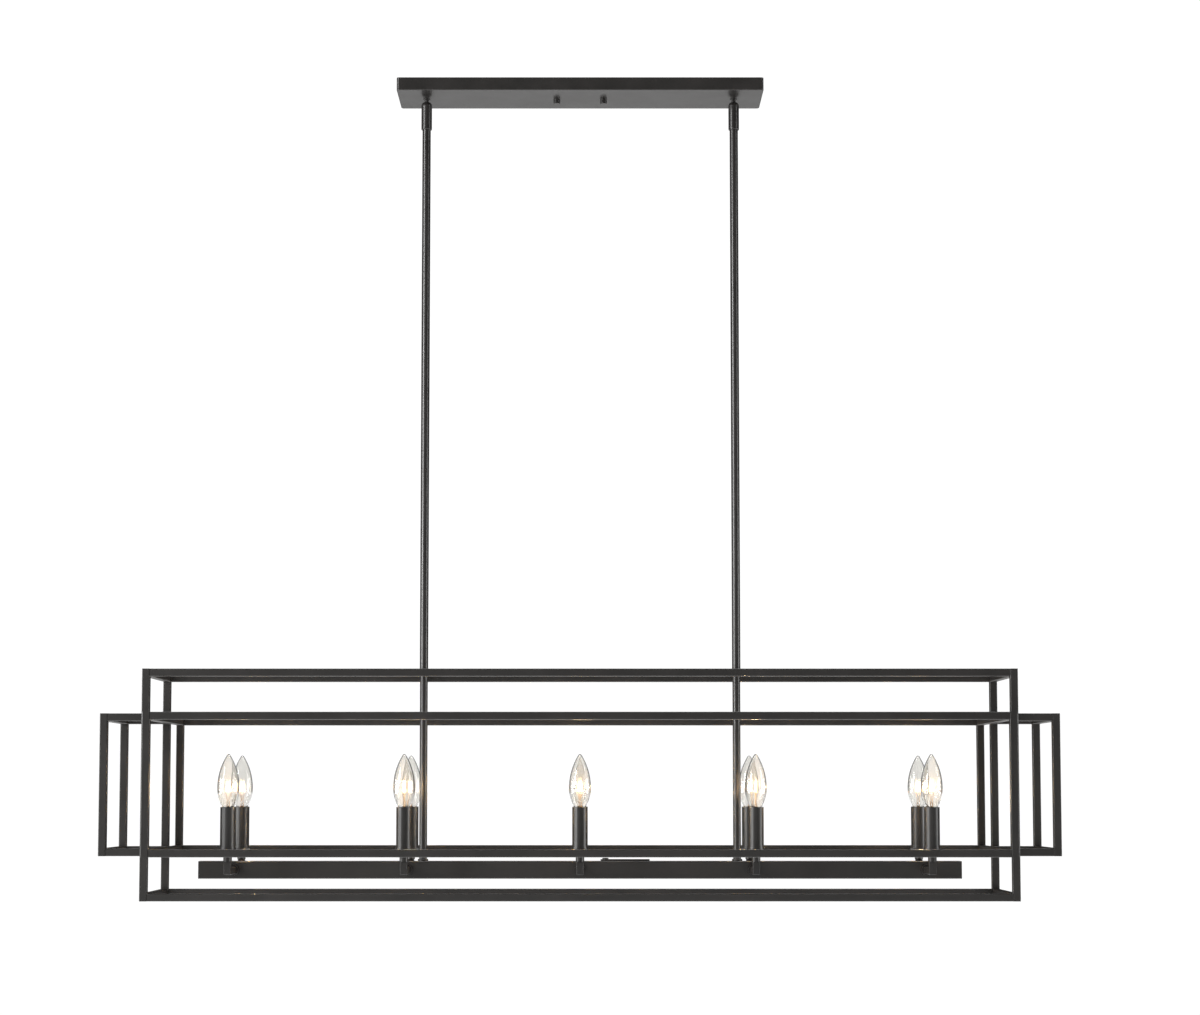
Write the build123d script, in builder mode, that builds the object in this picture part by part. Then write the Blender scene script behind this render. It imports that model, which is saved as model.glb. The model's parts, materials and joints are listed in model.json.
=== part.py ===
from build123d import *
from math import asin, atan2, cos, degrees, radians, sqrt, tan
import os

# Linear island pendant. +X runs along the fixture, +Z is up and -Y is the front.
# The origin is the middle of the canopy's rim, where the rim meets the ceiling.

# ---- canopy ----
canopy_end_room = 41.4  # from a rod's axis to the canopy's end
canopy_width = 100.0
canopy_height = 19.0
canopy_wall = 1.2
canopy_corner = 4.0  # corner radius in plan
canopy_edge = 1.0  # radius round the underside

# ---- mounting strap, studs and cap nuts ----
outlet_hole_spacing = 88.9
outlet_hole_d = 5.0
outlet_strap_end = 15.55  # from a screw hole to the strap's end
outlet_strap_width = 22.0
outlet_strap_thickness = 1.6
outlet_wire_d = 12.0
stud_inset = 9.7  # from a screw hole to its stud
stud_d = 4.0
stud_recess = 0.3  # stud tops stay this far under the ceiling
stud_nut_flats = 7.0
stud_nut_thickness = 3.2
cap_nut_d = 9.8
cap_nut_height = 7.1
cap_nut_end = 1.5  # closed end under the stud
cap_nut_chamfer = 0.4
stud_end_gap = 0.3  # from the stud's end to the cap nut's closed end

# ---- ball swivels ----
rod_spacing = 457.2
swing_limit = 15.0  # degrees to each side
pivot_drop = 10.2  # ball centre under the canopy
ball_d = 12.4
ball_neck_d = 6.6
ball_flange_d = 10.5
ball_flange_thickness = 1.2
ball_shank_d = 8.0
ball_wire_d = 4.0
swivel_nut_flats = 13.0
swivel_nut_thickness = 3.5
socket_length = 41.0
socket_wall = 1.6
socket_lip = 0.8  # height of the lip over the ball seat
socket_flare = 0.15
socket_rim = 0.64  # width of the flat rim round the opening
socket_foot = 1.0  # radius round the lower end
retainer_gap = 2.0  # retainer starts this far under the ball centre
retainer_length = 7.0
retainer_wire_d = 6.0

# ---- hanging rods ----
rod_d = 12.3
rod_wall = 1.2
rod_in_socket = 7.7
rod_end_chamfer = 0.35
short_rod_length = 76.2
medium_rod_length = 146.3
long_rod_length = 294.0
nipple_d = 8.0
nipple_wire_d = 5.5
thread_depth = 12.0
thread_spare = 2.0  # thread that shows past a lock nut
rod_nut_flats = 13.0
strap_nut_thickness = 4.3
bar_nut_thickness = 4.0
frame_strap_width = 20.0
frame_strap_thickness = 3.0
stem_d = 11.4
stem_length = 269.6
collar_d = 15.0
collar_height = 3.0

# ---- frames of square tube ----
tube = 11.0
tube_wall = 1.0
tube_corner = 1.2
vent_d = 4.0
end_frame_reach = 61.3  # how far the end frames stand out past the tall frame
bar_end_gap = 48.7  # from the light bar's end to the deep frame's end rail
tall_frame_depth = 190.5
tall_frame_height = 330.2
deep_frame_depth = 304.8
deep_frame_height = 203.2

# ---- light bar ----
bar_end_room = 51.0  # from the last candle to the bar's end
bar_size = 25.4
bar_wall = 1.2
bar_corner = 1.5
bar_cap_thickness = 1.5
bar_plug_depth = 5.0
cover_length = 71.2
cover_width = 18.0
cover_thickness = 2.5
cover_corner = 2.0
cover_x = 65.5
cover_end_room = 8.0  # from the cover's end to its slot
cover_screw_room = 18.0  # from the cover's other end to the slot
slot_width = 12.0
tongue_thickness = 1.5
tongue_length = 5.0
screw_d = 4.0
screw_inset = 7.0
screw_head_d = 9.0
screw_head_height = 2.0
screw_reach = 4.0
screw_head_edge = 0.65  # radius round the head
screw_slot_width = 1.2
screw_slot_length = 5.4
screw_slot_depth = 1.0

# ---- candles ----
candle_pitch = 251.4
candle_y = 71.6
boss_d = 15.5
boss_length = 6.0
arm_size = 10.0
arm_wall = 1.2
arm_corner = 0.8
arm_end = 5.0  # solid, threaded end of the arm
arm_rise = 8.5  # arm's top above its horizontal part
arm_drop = 12.6  # arm's axis under the bar's top
small_nipple_d = 6.0
small_wire_d = 3.6
arm_nut_flats = 9.0
arm_nut_thickness = 3.0
neck_d = 12.3
neck_height = 14.5
cup_wall = 1.0
cup_floor = 2.8
cup_rim = 3.0  # rim's height above the floor
cup_foot = 1.5
sleeve_d = 22.2
sleeve_wall = 0.9
sleeve_length = 60.3
socket_air = 1.0  # between the socket and the sleeve round it
socket_body_length = 30.0
socket_post_d = 11.0
socket_thread = 8.0  # nipple's depth in the socket
shell_wall = 0.25

# ---- lamps ----
lamp_length = 98.0
glass_in_sleeve = 5.4  # how far the glass reaches down into the sleeve
lamp_d = 31.2
lamp_base_length = 17.0
lamp_base_d = 11.8
lamp_contact_d = 4.0
lamp_contact_height = 1.0
lamp_cone_height = 3.0
lamp_cone_d = 6.0
nose_r = 2.5
widest_drop = 48.0  # from the tip to the widest place
glass_air = 1.9  # between the glass and the sleeve's mouth
glass_wall = 0.8
glass_neck_d = 12.6
glass_stem_d = 4.4
glass_stem_length = 15.0
lead_spread = 8.0
lead_gap = 3.0
lead_length = 17.0
filament_rise = 4.0
wire_d = 0.6
wire_bend = 1.0

# ---- clearances, each on one side ----
running_fit = 0.05
thread_fit = 0.05
hole_fit = 0.1
plug_fit = 0.1
sleeve_fit = 0.15
lamp_fit = 0.3
neck_fit = 0.5  # ball neck to the socket's lip at full swing

fillet_share = 0.9  # the most of a wall's thickness that a radius may take

STANDING = (Align.CENTER, Align.CENTER, Align.MIN)
HANGING = (Align.CENTER, Align.CENTER, Align.MAX)

# ---- heights from the ceiling down ----
rod_x = rod_spacing / 2
rod_xs = (-rod_x, rod_x)
canopy_length = rod_spacing + 2 * canopy_end_room
outlet_strap_length = outlet_hole_spacing + 2 * outlet_strap_end
stud_spacing = outlet_hole_spacing - 2 * stud_inset
canopy_under = -canopy_height
pivot_z = canopy_under - pivot_drop
seat_r = ball_d / 2 + running_fit
socket_bore_r = rod_d / 2 + hole_fit
socket_r = max(seat_r, socket_bore_r) + socket_wall

# the lip sits where the ball's neck, leaned to its limit, just clears the seat's opening
lean = tan(radians(swing_limit))
lip_reach = ball_neck_d / 2 / cos(radians(swing_limit)) + neck_fit
lip_rise = (sqrt((1 + lean**2) * seat_r**2 - lip_reach**2) - lip_reach * lean) / (1 + lean**2)
lip_r = lip_reach + lean * lip_rise
socket_rise = lip_rise + socket_lip

socket_bottom = pivot_z + socket_rise - socket_length
short_rod_top = socket_bottom + rod_in_socket
medium_rod_top = short_rod_top - short_rod_length
upper_rod_top = medium_rod_top - medium_rod_length
lower_rod_top = upper_rod_top - long_rod_length
strap_nut_top = lower_rod_top - long_rod_length
frame_top = strap_nut_top - strap_nut_thickness
stem_top = frame_top - frame_strap_thickness
collar_top = stem_top - stem_length
bar_top = collar_top - collar_height
bar_mid = bar_top - bar_size / 2

# ---- frame places ----
frame_mid = frame_top - tall_frame_height / 2
frame_strap_length = tall_frame_depth - 2 * tube
candle_steps = (-2, -1, 0, 1, 2)
bar_length = (candle_steps[-1] - candle_steps[0]) * candle_pitch + 2 * bar_end_room
deep_frame_length = bar_length + 2 * (bar_end_gap + tube)
tall_frame_length = deep_frame_length + 2 * tube
overall_length = tall_frame_length + 2 * end_frame_reach
end_frame_depth = tall_frame_depth - 2 * tube

# ---- candle places ----
candle_xs = [step * candle_pitch for step in candle_steps]
arm_z = bar_top - arm_drop
arm_start = bar_size / 2 + boss_length
arm_outside = candle_y + arm_size / 2
arm_top = arm_z + arm_size / 2 + arm_rise
cup_bottom = arm_top + neck_height
cup_seat = cup_bottom + cup_floor
sleeve_bore_r = sleeve_d / 2 - sleeve_wall
glass_length = lamp_length - lamp_base_length
lamp_tip = cup_seat + sleeve_length + glass_length - glass_in_sleeve
shell_bore_r = lamp_base_d / 2 + lamp_fit
socket_body_top = lamp_tip - glass_length - lamp_fit
socket_floor = lamp_tip - lamp_length - lamp_fit
socket_cavity_r = shell_bore_r + shell_wall + thread_fit
socket_body_r = sleeve_bore_r - socket_air

os.makedirs("parts", exist_ok=True)


def above_rods(z):
    """The places of both hanging rods, at one height."""
    return [(x, 0, z) for x in rod_xs]


def above_candles(z):
    """The places of all ten candles, at one height."""
    return [(x, y, z) for y in (-candle_y, candle_y) for x in candle_xs]


def hex_section(flats, bore_d):
    """A nut's outline with its bore, at the current places."""
    RegularPolygon(flats / 2, 6, major_radius=False)
    Circle(bore_d / 2, mode=Mode.SUBTRACT)


def tube_section():
    """The frames' square tube, at the current places."""
    RectangleRounded(tube, tube, tube_corner)
    Rectangle(tube - 2 * tube_wall, tube - 2 * tube_wall, mode=Mode.SUBTRACT)


# =====================================================================
# Ceiling end
# =====================================================================

with BuildPart() as canopy:
    with BuildSketch(Plane.XY.offset(canopy_under)):
        RectangleRounded(canopy_length, canopy_width, canopy_corner)
    extrude(amount=canopy_height)
    fillet(canopy.edges().group_by(Axis.Z)[0], min(canopy_edge, canopy_wall * fillet_share))
    with BuildSketch(Plane.XY.offset(canopy_under + canopy_wall)):
        RectangleRounded(
            canopy_length - 2 * canopy_wall, canopy_width - 2 * canopy_wall, canopy_corner - canopy_wall
        )
    extrude(amount=canopy_height, mode=Mode.SUBTRACT)
    with BuildSketch(Plane.XY.offset(canopy_under)):
        with Locations((-stud_spacing / 2, 0), (stud_spacing / 2, 0)):
            Circle(stud_d / 2 + hole_fit)
        with Locations((-rod_x, 0), (rod_x, 0)):
            Circle(ball_shank_d / 2 + hole_fit)
    extrude(amount=canopy_wall, mode=Mode.SUBTRACT)
canopy.part.label = "canopy"
export_step(canopy.part, "parts/canopy.step")

with BuildPart() as mounting_strap:
    with BuildSketch():
        SlotOverall(outlet_strap_length, outlet_strap_width)
        Circle(outlet_wire_d / 2, mode=Mode.SUBTRACT)
        with GridLocations(outlet_hole_spacing, 0, 2, 1):
            Circle(outlet_hole_d / 2, mode=Mode.SUBTRACT)
        with GridLocations(stud_spacing, 0, 2, 1):
            Circle(stud_d / 2 + thread_fit, mode=Mode.SUBTRACT)
    extrude(amount=-outlet_strap_thickness)
mounting_strap.part.label = "mounting_strap"
export_step(mounting_strap.part, "parts/mounting_strap.step")

stud_end = canopy_under - cap_nut_height + cap_nut_end + stud_end_gap
with BuildPart() as canopy_studs:
    with BuildSketch(Plane.XY.offset(stud_end)):
        with GridLocations(stud_spacing, 0, 2, 1):
            Circle(stud_d / 2)
    extrude(amount=-stud_recess - stud_end)
    chamfer(canopy_studs.edges().group_by(Axis.Z)[0], cap_nut_chamfer)
canopy_studs.part.label = "canopy_studs"
export_step(canopy_studs.part, "parts/canopy_studs.step")

with BuildPart() as stud_lock_nuts:
    with BuildSketch(Plane.XY.offset(-outlet_strap_thickness)):
        with GridLocations(stud_spacing, 0, 2, 1):
            hex_section(stud_nut_flats, stud_d + 2 * thread_fit)
    extrude(amount=-stud_nut_thickness)
stud_lock_nuts.part.label = "stud_lock_nuts"
export_step(stud_lock_nuts.part, "parts/stud_lock_nuts.step")

for side, x in (("left", -stud_spacing / 2), ("right", stud_spacing / 2)):
    with BuildPart() as cap_nut:
        with Locations((x, 0, canopy_under)):
            Cylinder(cap_nut_d / 2, cap_nut_height, align=HANGING)
            Cylinder(
                stud_d / 2 + running_fit, cap_nut_height - cap_nut_end, align=HANGING, mode=Mode.SUBTRACT
            )
        chamfer(cap_nut.edges().group_by(Axis.Z)[0], cap_nut_chamfer)
    cap_nut.part.label = f"cap_nut_{side}"
    export_step(cap_nut.part, f"parts/cap_nut_{side}.step")

shank_rise = canopy_wall + swivel_nut_thickness + thread_spare
with BuildPart() as swivel_balls:
    with Locations(*above_rods(canopy_under)):
        Cylinder(ball_shank_d / 2, shank_rise, align=STANDING)
        Cylinder(ball_flange_d / 2, ball_flange_thickness, align=HANGING)
        Cylinder(ball_neck_d / 2, pivot_drop, align=HANGING)
    with Locations(*above_rods(pivot_z)):
        Sphere(ball_d / 2)
    with Locations(*above_rods(canopy_under + shank_rise)):
        Cylinder(ball_wire_d / 2, shank_rise + pivot_drop + ball_d / 2, align=HANGING, mode=Mode.SUBTRACT)
swivel_balls.part.label = "swivel_balls"
export_step(swivel_balls.part, "parts/swivel_balls.step")

with BuildPart() as swivel_lock_nuts:
    with BuildSketch(Plane.XY.offset(canopy_under + canopy_wall)):
        with GridLocations(rod_spacing, 0, 2, 1):
            hex_section(swivel_nut_flats, ball_shank_d + 2 * thread_fit)
    extrude(amount=swivel_nut_thickness)
swivel_lock_nuts.part.label = "swivel_lock_nuts"
export_step(swivel_lock_nuts.part, "parts/swivel_lock_nuts.step")

# =====================================================================
# Hanging rods
# =====================================================================

dome_start = lip_r + socket_flare + socket_rim
dome_depth = socket_r - dome_start
dome_r = (dome_depth**2 + socket_rise**2) / (2 * dome_depth)
with BuildPart() as swivel_sockets:
    with BuildSketch(Plane(origin=(rod_x, 0, pivot_z), x_dir=(1, 0, 0), z_dir=(0, -1, 0))):
        with BuildLine():
            dome = CenterArc((socket_r - dome_r, 0), dome_r, 0, degrees(asin(socket_rise / dome_r)))
            rim = Line(dome @ 1, (0, socket_rise))
            core = Line(rim @ 1, (0, socket_rise - socket_length))
            foot = Line(core @ 1, (socket_r, socket_rise - socket_length))
            Line(foot @ 1, dome @ 0)
        make_face()
    revolve(axis=Axis((rod_x, 0, 0), (0, 0, 1)))
    fillet(swivel_sockets.edges().group_by(Axis.Z)[0], socket_foot)
    with Locations((rod_x, 0, pivot_z)):
        Sphere(seat_r, mode=Mode.SUBTRACT)
    with Locations((rod_x, 0, pivot_z + lip_rise)):
        Cone(lip_r, lip_r + socket_flare, socket_lip, align=STANDING, mode=Mode.SUBTRACT)
    with Locations((rod_x, 0, pivot_z)):
        Cylinder(seat_r, pivot_z - short_rod_top, align=HANGING, mode=Mode.SUBTRACT)
    with Locations((rod_x, 0, short_rod_top)):
        Cylinder(socket_bore_r, rod_in_socket, align=HANGING, mode=Mode.SUBTRACT)
    mirror(about=Plane.YZ)
swivel_sockets.part.label = "swivel_sockets"
export_step(swivel_sockets.part, "parts/swivel_sockets.step")

with BuildPart() as swivel_retainers:
    with Locations(*above_rods(pivot_z - retainer_gap)):
        Cylinder(seat_r - thread_fit, retainer_length, align=HANGING)
        Cylinder(retainer_wire_d / 2, retainer_length, align=HANGING, mode=Mode.SUBTRACT)
    with Locations(*above_rods(pivot_z)):
        Sphere(seat_r, mode=Mode.SUBTRACT)
swivel_retainers.part.label = "swivel_retainers"
export_step(swivel_retainers.part, "parts/swivel_retainers.step")


def hanging_tubes(top, length, outer_d):
    """Both tubes of one joint in the hanging, with threaded ends and a wider bore between them."""
    with BuildPart() as tubes:
        with Locations(*above_rods(top)):
            Cylinder(outer_d / 2, length, align=HANGING)
        chamfer(tubes.edges().group_by(Axis.Z)[0], rod_end_chamfer)
        chamfer(tubes.edges().group_by(Axis.Z)[-1], rod_end_chamfer)
        with Locations(*above_rods(top)):
            Cylinder(nipple_d / 2 + thread_fit, length, align=HANGING, mode=Mode.SUBTRACT)
        with Locations(*above_rods(top - thread_depth)):
            Cylinder(
                outer_d / 2 - rod_wall, length - 2 * thread_depth, align=HANGING, mode=Mode.SUBTRACT
            )
    return tubes


short_rods = hanging_tubes(short_rod_top, short_rod_length, rod_d)
short_rods.part.label = "short_rods"
export_step(short_rods.part, "parts/short_rods.step")

medium_rods = hanging_tubes(medium_rod_top, medium_rod_length, rod_d)
medium_rods.part.label = "medium_rods"
export_step(medium_rods.part, "parts/medium_rods.step")

upper_long_rods = hanging_tubes(upper_rod_top, long_rod_length, rod_d)
upper_long_rods.part.label = "upper_long_rods"
export_step(upper_long_rods.part, "parts/upper_long_rods.step")

lower_long_rods = hanging_tubes(lower_rod_top, long_rod_length, rod_d)
lower_long_rods.part.label = "lower_long_rods"
export_step(lower_long_rods.part, "parts/lower_long_rods.step")

frame_stems = hanging_tubes(stem_top, stem_length, stem_d)
frame_stems.part.label = "frame_stems"
export_step(frame_stems.part, "parts/frame_stems.step")

with BuildPart() as frame_straps:
    with BuildSketch(Plane.XY.offset(stem_top)):
        with GridLocations(rod_spacing, 0, 2, 1):
            Rectangle(frame_strap_width, frame_strap_length)
            Circle(nipple_d / 2 + hole_fit, mode=Mode.SUBTRACT)
    extrude(amount=frame_strap_thickness)
frame_straps.part.label = "frame_straps"
export_step(frame_straps.part, "parts/frame_straps.step")

with BuildPart() as bar_collars:
    with Locations(*above_rods(bar_top)):
        Cylinder(collar_d / 2, collar_height, align=STANDING)
    chamfer(bar_collars.edges().group_by(Axis.Z)[-1], rod_end_chamfer)
    with Locations(*above_rods(bar_top)):
        Cylinder(nipple_d / 2 + hole_fit, collar_height, align=STANDING, mode=Mode.SUBTRACT)
bar_collars.part.label = "bar_collars"
export_step(bar_collars.part, "parts/bar_collars.step")

# =====================================================================
# Frames of square tube
# =====================================================================


def rails_along_x(length, depth, height):
    """Four tubes along X, on the long edges of a box frame."""
    with BuildPart() as rails:
        with BuildSketch(Plane.YZ.offset(-length / 2)):
            with Locations((0, frame_mid)):
                with GridLocations(depth - tube, height - tube, 2, 2):
                    tube_section()
        extrude(amount=length)
    return rails


def rails_along_y(length, spread, height):
    """Four tubes along Y, on the end edges of a box frame."""
    with BuildPart() as rails:
        with BuildSketch(Plane.XZ.offset(-length / 2)):
            with Locations((0, frame_mid)):
                with GridLocations(spread, height - tube, 2, 2):
                    tube_section()
        extrude(amount=length)
    return rails


def frame_posts(spread, depth, height):
    """Four upright tubes with closed ends, vented into the rails that butt on their inner faces."""
    with BuildPart() as posts:
        with BuildSketch(Plane.XY.offset(frame_mid - height / 2)):
            with GridLocations(spread, depth - tube, 2, 2):
                RectangleRounded(tube, tube, tube_corner)
        extrude(amount=height)
        with BuildSketch(Plane.XY.offset(frame_mid - height / 2 + tube_wall)):
            with GridLocations(spread, depth - tube, 2, 2):
                Rectangle(tube - 2 * tube_wall, tube - 2 * tube_wall)
        extrude(amount=height - 2 * tube_wall, mode=Mode.SUBTRACT)
        for rail_z in (frame_mid - (height - tube) / 2, frame_mid + (height - tube) / 2):
            with Locations((0, 0, rail_z)):
                with GridLocations(spread - tube, depth - tube, 2, 2):
                    Cylinder(vent_d / 2, 2 * tube_wall, rotation=(0, 90, 0), mode=Mode.SUBTRACT)
    return posts


tall_frame_long_rails = rails_along_x(tall_frame_length - 2 * tube, tall_frame_depth, tall_frame_height)
tall_frame_long_rails.part.label = "tall_frame_long_rails"
export_step(tall_frame_long_rails.part, "parts/tall_frame_long_rails.step")

tall_frame_end_rails = rails_along_y(
    tall_frame_depth - 2 * tube, tall_frame_length - tube, tall_frame_height
)
tall_frame_end_rails.part.label = "tall_frame_end_rails"
export_step(tall_frame_end_rails.part, "parts/tall_frame_end_rails.step")

tall_frame_posts = frame_posts(tall_frame_length - tube, tall_frame_depth, tall_frame_height)
tall_frame_posts.part.label = "tall_frame_posts"
export_step(tall_frame_posts.part, "parts/tall_frame_posts.step")

deep_frame_long_rails = rails_along_x(deep_frame_length - 2 * tube, deep_frame_depth, deep_frame_height)
deep_frame_long_rails.part.label = "deep_frame_long_rails"
export_step(deep_frame_long_rails.part, "parts/deep_frame_long_rails.step")

deep_frame_end_rails = rails_along_y(
    deep_frame_depth - 2 * tube, deep_frame_length - tube, deep_frame_height
)
deep_frame_end_rails.part.label = "deep_frame_end_rails"
export_step(deep_frame_end_rails.part, "parts/deep_frame_end_rails.step")

deep_frame_posts = frame_posts(deep_frame_length - tube, deep_frame_depth, deep_frame_height)
deep_frame_posts.part.label = "deep_frame_posts"
export_step(deep_frame_posts.part, "parts/deep_frame_posts.step")

end_frame_rails = rails_along_y(end_frame_depth - 2 * tube, overall_length - tube, deep_frame_height)
end_frame_rails.part.label = "end_frame_rails"
export_step(end_frame_rails.part, "parts/end_frame_rails.step")

end_frame_posts = frame_posts(overall_length - tube, end_frame_depth, deep_frame_height)
end_frame_posts.part.label = "end_frame_posts"
export_step(end_frame_posts.part, "parts/end_frame_posts.step")

stub_start = deep_frame_length / 2
with BuildPart() as end_frame_stubs:
    with BuildSketch(Plane.YZ.offset(stub_start)):
        with Locations((0, frame_mid)):
            with GridLocations(end_frame_depth - tube, deep_frame_height - tube, 2, 2):
                tube_section()
    extrude(amount=overall_length / 2 - tube - stub_start)
    mirror(about=Plane.YZ)
end_frame_stubs.part.label = "end_frame_stubs"
export_step(end_frame_stubs.part, "parts/end_frame_stubs.step")

# =====================================================================
# Light bar
# =====================================================================

cover_left = cover_x - cover_length / 2
cover_right = cover_x + cover_length / 2
slot_left = cover_left + cover_screw_room
slot_right = cover_right - cover_end_room
screw_x = cover_left + screw_inset
bar_tube_length = bar_length - 2 * bar_cap_thickness
bar_inside = bar_size - 2 * bar_wall

with BuildPart() as light_bar:
    with BuildSketch(Plane.YZ.offset(-bar_tube_length / 2)):
        with Locations((0, bar_mid)):
            RectangleRounded(bar_size, bar_size, bar_corner)
            Rectangle(bar_inside, bar_inside, mode=Mode.SUBTRACT)
    extrude(amount=bar_tube_length)
    with BuildSketch(Plane.XY.offset(bar_top)):
        with Locations(((slot_left + slot_right) / 2, 0)):
            Rectangle(slot_right - slot_left, slot_width)
        with Locations((screw_x, 0)):
            Circle(screw_d / 2 + thread_fit)
        with GridLocations(rod_spacing, 0, 2, 1):
            Circle(nipple_d / 2 + hole_fit)
    extrude(amount=-bar_size / 2, mode=Mode.SUBTRACT)
    with BuildSketch(Plane.XZ.offset(-bar_size / 2)):
        with Locations(*[(x, arm_z) for x in candle_xs]):
            Circle(small_nipple_d / 2 + hole_fit)
    extrude(amount=bar_size, mode=Mode.SUBTRACT)
light_bar.part.label = "light_bar"
export_step(light_bar.part, "parts/light_bar.step")

with BuildPart() as bar_end_caps:
    with BuildSketch(Plane.YZ.offset(bar_tube_length / 2)):
        with Locations((0, bar_mid)):
            RectangleRounded(bar_size, bar_size, bar_corner)
    extrude(amount=bar_cap_thickness)
    with BuildSketch(Plane.YZ.offset(bar_tube_length / 2)):
        with Locations((0, bar_mid)):
            Rectangle(bar_inside - 2 * plug_fit, bar_inside - 2 * plug_fit)
    extrude(amount=-bar_plug_depth)
    mirror(about=Plane.YZ)
bar_end_caps.part.label = "bar_end_caps"
export_step(bar_end_caps.part, "parts/bar_end_caps.step")

tongue_top = bar_top - bar_wall - plug_fit
with BuildPart() as cover_plate:
    with BuildSketch(Plane.XY.offset(bar_top)):
        with Locations((cover_x, 0)):
            RectangleRounded(cover_length, cover_width, cover_corner)
        with Locations((screw_x, 0)):
            Circle(screw_d / 2 + hole_fit, mode=Mode.SUBTRACT)
    extrude(amount=cover_thickness)
    with BuildSketch(Plane.XZ):
        with BuildLine():
            hook_back = slot_right - plug_fit
            Polyline(
                (hook_back - tongue_thickness, bar_top),
                (hook_back, bar_top),
                (hook_back, tongue_top),
                (hook_back + tongue_length, tongue_top),
                (hook_back + tongue_length, tongue_top - tongue_thickness),
                (hook_back - tongue_thickness, tongue_top - tongue_thickness),
                close=True,
            )
        make_face()
    extrude(amount=slot_width / 2 - plug_fit, both=True)
cover_plate.part.label = "cover_plate"
export_step(cover_plate.part, "parts/cover_plate.step")

cover_top = bar_top + cover_thickness
with BuildPart() as cover_screw:
    with Locations((screw_x, 0, cover_top)):
        Cylinder(screw_head_d / 2, screw_head_height, align=STANDING)
        Cylinder(screw_d / 2, cover_thickness + bar_wall + screw_reach, align=HANGING)
    fillet(cover_screw.edges().group_by(Axis.Z)[-1], min(screw_head_edge, screw_head_height * fillet_share))
    with BuildSketch(Plane.XY.offset(cover_top + screw_head_height)):
        with Locations((screw_x, 0)):
            Rectangle(screw_slot_length, screw_slot_width)
            Rectangle(screw_slot_width, screw_slot_length)
    extrude(amount=-screw_slot_depth, mode=Mode.SUBTRACT)
cover_screw.part.label = "cover_screw"
export_step(cover_screw.part, "parts/cover_screw.step")

# =====================================================================
# Nipples and lock nuts
# =====================================================================

joint_nipple_length = 2 * thread_depth
strap_nipple_length = 2 * thread_depth + strap_nut_thickness + frame_strap_thickness
bar_nipple_length = thread_depth + collar_height + bar_wall + bar_nut_thickness + thread_spare
arm_nipple_length = arm_end + boss_length + bar_wall + arm_nut_thickness + thread_spare
candle_nipple_length = arm_end + neck_height + cup_floor + socket_thread


def upright_nipples(places, length, outer_d, bore_d):
    """Threaded tubes that hang from the given places."""
    with Locations(*places):
        Cylinder(outer_d / 2, length, align=HANGING)
        Cylinder(bore_d / 2, length, align=HANGING, mode=Mode.SUBTRACT)


with BuildPart() as threaded_nipples:
    with BuildSketch(Plane.XZ.offset(arm_start + arm_end)):
        with Locations(*[(x, arm_z) for x in candle_xs]):
            Circle(small_nipple_d / 2)
            Circle(small_wire_d / 2, mode=Mode.SUBTRACT)
    extrude(amount=-arm_nipple_length)
    mirror(about=Plane.XZ)
    for joint_z in (medium_rod_top, upper_rod_top, lower_rod_top):
        upright_nipples(above_rods(joint_z + thread_depth), joint_nipple_length, nipple_d, nipple_wire_d)
    upright_nipples(above_rods(strap_nut_top + thread_depth), strap_nipple_length, nipple_d, nipple_wire_d)
    upright_nipples(above_rods(collar_top + thread_depth), bar_nipple_length, nipple_d, nipple_wire_d)
    upright_nipples(
        above_candles(cup_seat + socket_thread), candle_nipple_length, small_nipple_d, small_wire_d
    )
threaded_nipples.part.label = "threaded_nipples"
export_step(threaded_nipples.part, "parts/threaded_nipples.step")

with BuildPart() as lock_nuts:
    with BuildSketch(Plane.XZ.offset(bar_size / 2 - bar_wall)):
        with Locations(*[(x, arm_z) for x in candle_xs]):
            hex_section(arm_nut_flats, small_nipple_d + 2 * thread_fit)
    extrude(amount=-arm_nut_thickness)
    mirror(about=Plane.XZ)
    with BuildSketch(Plane.XY.offset(frame_top)):
        with GridLocations(rod_spacing, 0, 2, 1):
            hex_section(rod_nut_flats, nipple_d + 2 * thread_fit)
    extrude(amount=strap_nut_thickness)
    with BuildSketch(Plane.XY.offset(bar_top - bar_wall)):
        with GridLocations(rod_spacing, 0, 2, 1):
            hex_section(rod_nut_flats, nipple_d + 2 * thread_fit)
    extrude(amount=-bar_nut_thickness)
lock_nuts.part.label = "lock_nuts"
export_step(lock_nuts.part, "parts/lock_nuts.step")

# =====================================================================
# Candles
# =====================================================================

with BuildPart() as arm_bosses:
    with BuildSketch(Plane.XZ.offset(bar_size / 2)):
        with Locations(*[(x, arm_z) for x in candle_xs]):
            Circle(boss_d / 2)
            Circle(small_nipple_d / 2 + hole_fit, mode=Mode.SUBTRACT)
    extrude(amount=boss_length)
    mirror(about=Plane.XZ)
arm_bosses.part.label = "arm_bosses"
export_step(arm_bosses.part, "parts/arm_bosses.step")

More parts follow.
